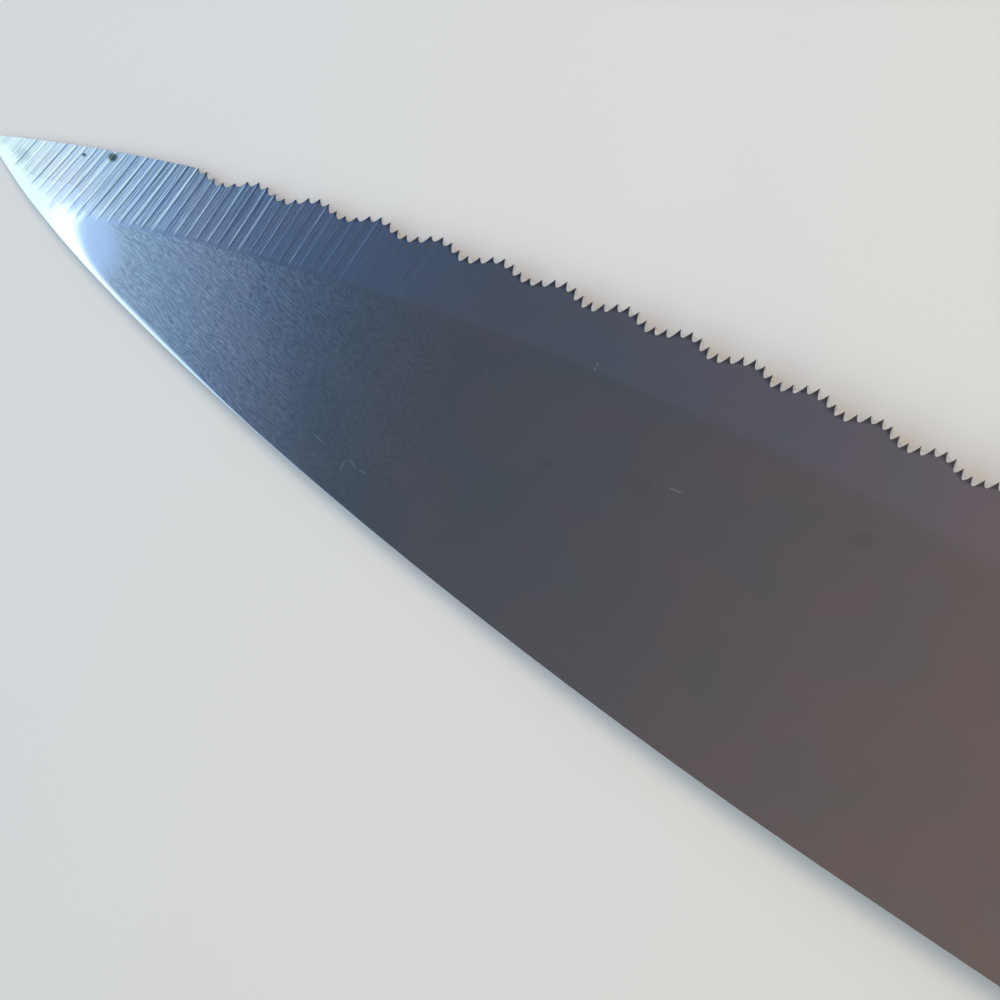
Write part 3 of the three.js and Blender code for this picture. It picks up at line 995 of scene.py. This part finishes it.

# Marks: the middle, the half sizes and the turn of each, and how strong they are. Each one is even over its
# core and fades out round it.
# The polished place near the tip has no brushed lines. It is also painted lighter, a painted highlight of
# the window's reflection.
POLISHED_AND_SHINE_PLACES = [((188.9, -9.7), (5.6, 4.4), -24.0)]
PITS = [((191.1, -17.57), (0.64, 0.54)), ((193.6, -16.35), (0.3, 0.22))]
PIT_STRENGTH = 0.9
TIP_STAINS = [((198.7, -13.4), (1.2, 0.7))]
TIP_STAIN_STRENGTH = 0.6
SPECKS = [((142.05, -24.6), (0.16, 0.22)), ((142.1, -25.05), (0.14, 0.18))]
SCRATCHES = [
    ((156.45, -5.8), (0.75, 0.08), 97.0),
    ((155.75, -6.4), (0.75, 0.08), -16.0),
    ((154.65, -6.25), (0.6, 0.07), 5.0),
    ((159.65, -6.6), (1.1, 0.05), -10.0),
    ((130.35, -19.6), (0.9, 0.12), 12.0),
]
SMUDGES = [
    ((141.25, -15.5), (0.8, 0.6), 20.0),
    ((133.15, -18.3), (1.9, 1.1), 0.0),
    ((114.95, -24.4), (1.7, 1.0), 30.0),
]
SMUDGE_STRENGTH = 0.3
SPOT_CORE = 0.4


def steel_clouds(nodes, place):
    return nodes.noise(nodes.stretched(place, CLOUD_SIZE))


def clouded_steel(nodes, clouds):
    return nodes.mix(nodes.spread(clouds, *CLOUD_RANGE), STEEL_COOL, STEEL_WARM)


# How clear the brushed lines are: less further back, and none where the face is rounded or polished
def brushed_share(nodes, place, polish_and_shine):
    from_tip = nodes.math("SUBTRACT", BLADE_LENGTH, nodes.axis(place, "X"))
    clear = nodes.spread(from_tip, BRUSH_CLEAR, BRUSH_WORN, 1.0, BRUSH_REST)
    rise = nodes.axis(nodes.add("ShaderNodeNewGeometry", {}).outputs["Normal"], "Z")
    flat = nodes.spread(rise, POLISHED_RISE, FLAT_RISE)
    return nodes.times(nodes.times(clear, flat), nodes.math("SUBTRACT", 1.0, polish_and_shine))


def steel_face():
    material, nodes = new_material("steel_face")
    place = nodes.place()
    polish_and_shine = nodes.spots(place, POLISHED_AND_SHINE_PLACES)
    brushed = brushed_share(nodes, place, polish_and_shine)
    lines = nodes.noise(nodes.stretched(place, BRUSH_SIZE, BRUSH_TURN), *BRUSH_NOISE)
    grain = nodes.noise(nodes.stretched(place, BRUSH_GRAIN, BRUSH_TURN))
    shade = nodes.times(nodes.spread(grain, *BRUSH_GRAIN_RANGE), brushed)
    clouds = steel_clouds(nodes, place)
    colour = clouded_steel(nodes, clouds)
    colour = nodes.mix(nodes.times(shade, BRUSH_SHADE), colour, STEEL_SHADED)
    # Painted highlight: the polished place is painted lighter where the window's reflection falls
    colour = nodes.mix(polish_and_shine, colour, STEEL_POLISH_PAINTED_SHINE)
    colour = nodes.mix(nodes.spots(place, SMUDGES, SMUDGE_STRENGTH), colour, STEEL_SMUDGED)
    colour = nodes.mix(nodes.spots(place, SCRATCHES), colour, STEEL_SCRATCHED)
    nodes.surface({
        "Base Color": colour,
        "Metallic": 1.0,
        "Roughness": nodes.spread(clouds, *CLOUD_RANGE, *FACE_ROUGHNESS),
        "Normal": nodes.bump(nodes.times(lines, brushed), BRUSH_DEPTH),
    })
    return material


def steel_bevel():
    material, nodes = new_material("steel_bevel")
    place = nodes.place()
    run = nodes.attribute("run")
    ground = nodes.vector(run, nodes.attribute("inward"))
    lines = nodes.noise(nodes.stretched(ground, GRIND_SIZE), *GRIND_NOISE)
    fade_end = RIB_FADE_START + RIB_FADE_LENGTH
    fading = nodes.spread(run, RIB_FADE_START, fade_end, 1.0, RIB_REST_SHARE)
    shade = nodes.times(nodes.spread(lines, *GRIND_RANGE), fading)
    tooth_shade = nodes.spread(nodes.attribute("past_root"), *TOOTH_SHADE_CHANGE)
    colour = clouded_steel(nodes, steel_clouds(nodes, place))
    colour = nodes.mix(nodes.times(shade, GRIND_SHADE), colour, STEEL_SHADED)
    # Painted highlight: the polished place on the bevel is painted lighter too
    colour = nodes.mix(nodes.spots(place, POLISHED_AND_SHINE_PLACES), colour, STEEL_POLISH_PAINTED_SHINE)
    colour = nodes.mix(nodes.spots(place, TIP_STAINS, TIP_STAIN_STRENGTH), colour, STEEL_SHADED)
    colour = nodes.mix(nodes.spots(place, SPECKS), colour, STEEL_SCRATCHED)
    colour = nodes.mix(nodes.spots(place, PITS, PIT_STRENGTH), colour, RUST)
    # Painted shade: the teeth are darker from their roots out, standing in for the dark reflection on their
    # tips
    colour = nodes.mix(tooth_shade, colour, TOOTH_PAINTED_SHADE)
    nodes.surface({
        "Base Color": colour,
        "Metallic": 1.0,
        "Roughness": nodes.spread(lines, *MIDDLE_RANGE, *BEVEL_ROUGHNESS),
        "Normal": nodes.bump(nodes.times(lines, fading), GRIND_DEPTH),
    })
    return material


def steel_tooth():
    material, nodes = new_material("steel_tooth")
    ground = nodes.vector(nodes.attribute("run"), nodes.attribute("inward"))
    lines = nodes.noise(nodes.stretched(ground, GRIND_SIZE))
    nodes.surface({
        "Base Color": nodes.mix(nodes.spread(lines, *TOOTH_RANGE), STEEL_BRIGHT, STEEL_DULL),
        "Metallic": 1.0,
        "Roughness": TOOTH_ROUGHNESS,
        "Normal": nodes.bump(lines, GRIND_DEPTH),
    })
    return material


def steel_side():
    material, nodes = new_material("steel_side")
    lines = nodes.noise(nodes.stretched(nodes.place(), SIDE_SIZE))
    nodes.surface({
        "Base Color": nodes.mix(lines, STEEL, STEEL_DULL),
        "Metallic": 1.0,
        "Roughness": nodes.spread(lines, *MIDDLE_RANGE, *SIDE_ROUGHNESS),
        "Normal": nodes.bump(lines, SIDE_DEPTH),
    })
    return material


# Wood, with bands, fibres and pores that run along the handle
WOOD_DARK = (0.035, 0.014, 0.008, 1)
WOOD_MIDDLE = (0.12, 0.05, 0.025, 1)
WOOD_LIGHT = (0.24, 0.115, 0.055, 1)
WOOD_TURN = 2.0
WOOD_DEPTH = 0.03
WOOD_ROUGHNESS = (0.42, 0.7)
BAND_SIZE = (90.0, 3.2, 4.0)
BAND_RANGE = (0.35, 0.65)
FIBRE_SIZE = (22.0, 0.4, 0.4)
FIBRE_NOISE = (4.0, 0.6)
FIBRE_RANGE = (0.35, 0.75)
FIBRE_STRENGTH = 0.6
PORE_SIZE = (5.0, 0.22, 0.22)
PORE_NOISE = (1.0, 0.4)
PORE_RANGE = (0.58, 0.72)


def handle_wood():
    material, nodes = new_material("handle_wood")
    place = nodes.place()
    bands = nodes.noise(nodes.stretched(place, BAND_SIZE, WOOD_TURN))
    fibres = nodes.noise(nodes.stretched(place, FIBRE_SIZE, WOOD_TURN), *FIBRE_NOISE)
    pores = nodes.noise(nodes.stretched(place, PORE_SIZE, WOOD_TURN), *PORE_NOISE)
    pores = nodes.spread(pores, *PORE_RANGE)
    colour = nodes.mix(nodes.spread(bands, *BAND_RANGE), WOOD_MIDDLE, WOOD_LIGHT)
    colour = nodes.mix(nodes.spread(fibres, *FIBRE_RANGE, 0.0, FIBRE_STRENGTH), colour, WOOD_DARK)
    colour = nodes.mix(pores, colour, WOOD_DARK)
    nodes.surface({
        "Base Color": colour,
        "Roughness": nodes.spread(pores, 0.0, 1.0, *WOOD_ROUGHNESS),
        "Normal": nodes.bump(nodes.math("SUBTRACT", fibres, pores), WOOD_DEPTH),
    })
    return material


# Brass, with fine lines across the heads and dull stains
BRASS = (0.72, 0.52, 0.24, 1)
BRASS_DULL = (0.42, 0.28, 0.12, 1)
BRASS_NOISE = (3.0, 0.6)
BRASS_LINE_SIZE = (4.0, 0.08, 1.0)
BRASS_LINE_TURN = 8.0
BRASS_LINE_DEPTH = 0.004
BRASS_STAIN_SIZE = (2.2, 2.2, 2.2)
BRASS_STAIN_RANGE = (0.45, 0.75)
BRASS_ROUGHNESS = (0.24, 0.42)


def rivet_brass():
    material, nodes = new_material("rivet_brass")
    place = nodes.place()
    lines = nodes.noise(nodes.stretched(place, BRASS_LINE_SIZE, BRASS_LINE_TURN), *BRASS_NOISE)
    stains = nodes.noise(nodes.stretched(place, BRASS_STAIN_SIZE), *BRASS_NOISE)
    nodes.surface({
        "Base Color": nodes.mix(nodes.spread(stains, *BRASS_STAIN_RANGE), BRASS, BRASS_DULL),
        "Metallic": 1.0,
        "Roughness": nodes.spread(stains, *MIDDLE_RANGE, *BRASS_ROUGHNESS),
        "Normal": nodes.bump(lines, BRASS_LINE_DEPTH),
    })
    return material


# Floor, in two tones of one pale grey
FLOOR_DARK = (0.77, 0.77, 0.77, 1)
FLOOR_LIGHT = (0.8, 0.8, 0.8, 1)
FLOOR_GRAIN = (30.0, 30.0, 30.0)
FLOOR_NOISE = (4.0, 0.5)
FLOOR_ROUGHNESS = 0.7


def pale_floor():
    material, nodes = new_material("pale_floor")
    grain = nodes.noise(nodes.stretched(nodes.place(), FLOOR_GRAIN), *FLOOR_NOISE)
    nodes.surface({
        "Base Color": nodes.mix(grain, FLOOR_DARK, FLOOR_LIGHT),
        "Roughness": FLOOR_ROUGHNESS,
    })
    return material


# Floor, light and camera

# The knife rests on its tip and on the front of its left scale, so the floor slopes between the two
def make_floor():
    scale_low, scale_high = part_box("scale_left")
    front = Vector((scale_high.x - SCALE_FRONT_ROUND * MM, 0, scale_low.z))
    end = Vector((blade_high.x, 0, blade_low.z))
    slope = math.atan2(end.z - front.z, end.x - front.x)
    shape = Shape()
    half = FLOOR_SIZE / 2
    shape.fill([[(-half, -half, 0), (half, -half, 0), (half, half, 0), (-half, half, 0)]])
    floor = place_piece("floor", shape, SCALE_SHARP, front)
    floor.rotation_euler = (0, -slope, 0)
    floor.data.materials.append(pale_floor())


# A soft square panel of light, placed by its direction and distance from the middle of the view. It lights
# the knife and the floor, and neither the camera nor a reflection shows the panel itself.
def make_panel(name, azimuth, elevation, distance, size, power, colour):
    light = bpy.data.lights.new(name, "AREA")
    light.shape = "SQUARE"
    light.size = size
    light.energy = power
    light.color = colour
    lamp = bpy.data.objects.new(name, light)
    bpy.context.scene.collection.objects.link(lamp)
    direction = direction_to(azimuth, elevation)
    lamp.location = VIEW_CENTRE + direction * distance
    lamp.rotation_euler = direction.to_track_quat("Z", "Y").to_euler()
    lamp.visible_camera = False
    lamp.visible_glossy = False


# Azimuth is counted from the tip's direction towards the spine's side
def direction_to(azimuth, elevation):
    turn = math.radians(azimuth)
    rise = math.radians(elevation)
    return Vector((math.cos(turn) * math.cos(rise), math.sin(turn) * math.cos(rise), math.sin(rise)))


def make_world():
    world = bpy.data.worlds.new("room")
    world.use_nodes = True
    bpy.context.scene.world = world
    nodes = Nodes(world.node_tree)
    direction = nodes.add("ShaderNodeTexCoord", {}).outputs["Generated"]
    ahead = nodes.axis(direction, "X")
    aside = nodes.axis(direction, "Y")
    to_window = nodes.math("ADD", ahead, nodes.times(aside, WINDOW_LEAN))
    to_glow = nodes.math("ADD", ahead, nodes.times(aside, GLOW_LEAN))
    below_edge = nodes.math("SUBTRACT", nodes.math("MINIMUM", to_window, WINDOW_EDGE), WINDOW_EDGE)
    blue = nodes.math("EXPONENT", nodes.times(below_edge, WINDOW_FALL))
    white = nodes.spread(to_window, WINDOW_EDGE, WINDOW_WHITE_END)
    pane = nodes.times(nodes.spread(ahead, *WINDOW_SIDE), nodes.spread(to_window, *WINDOW_SILL))
    colour = nodes.mix(nodes.spread(ahead, *CEILING_CHANGE), CEILING_FRONT, CEILING_BACK)
    behind = nodes.spread(ahead, *CEILING_FAR_CHANGE)
    beside = nodes.spread(aside, *CEILING_SIDE_CHANGE)
    colour = nodes.mix(nodes.math("MAXIMUM", behind, beside), colour, CEILING_FAR)
    edge_side = nodes.times(nodes.spread(aside, *EDGE_SIDE_CHANGE), nodes.spread(ahead, *EDGE_SIDE_END))
    colour = nodes.plus(colour, edge_side, EDGE_SIDE)
    colour = nodes.plus(colour, nodes.spread(to_glow, *GLOW_RISE), GLOW)
    colour = nodes.plus(colour, nodes.times(blue, pane), WINDOW_BLUE)
    colour = nodes.plus(colour, nodes.times(white, pane), WINDOW_WHITE)
    colour = nodes.mix(nodes.spread(nodes.axis(direction, "Z"), *HORIZON_RISE), HORIZON, colour)
    background = nodes.add("ShaderNodeBackground", {"Color": colour, "Strength": 1.0})
    nodes.add("ShaderNodeOutputWorld", {"Surface": background.outputs["Background"]})


def make_camera():
    data = bpy.data.cameras.new("camera")
    data.sensor_width = CAMERA_SENSOR
    data.lens = CAMERA_LENS
    camera = bpy.data.objects.new("camera", data)
    bpy.context.scene.collection.objects.link(camera)
    back = direction_to(CAMERA_AZIMUTH, CAMERA_ELEVATION)
    facing = back.to_track_quat("Z", "Y").to_matrix()
    turned = facing @ Matrix.Rotation(math.radians(CAMERA_ROLL), 3, "Z")
    camera.matrix_world = Matrix.Translation(VIEW_CENTRE + back * CAMERA_DISTANCE) @ turned.to_4x4()
    bpy.context.scene.camera = camera


make_camera()
make_floor()
make_world()
make_panel("warm_key", **KEY)
make_panel("cool_fill", **FILL)
bpy.context.scene.view_settings.view_transform = "Standard"

make_blade()
wood = handle_wood()
make_scale("scale_right", wood)
make_scale("scale_left", wood)
make_rivets(rivet_brass())
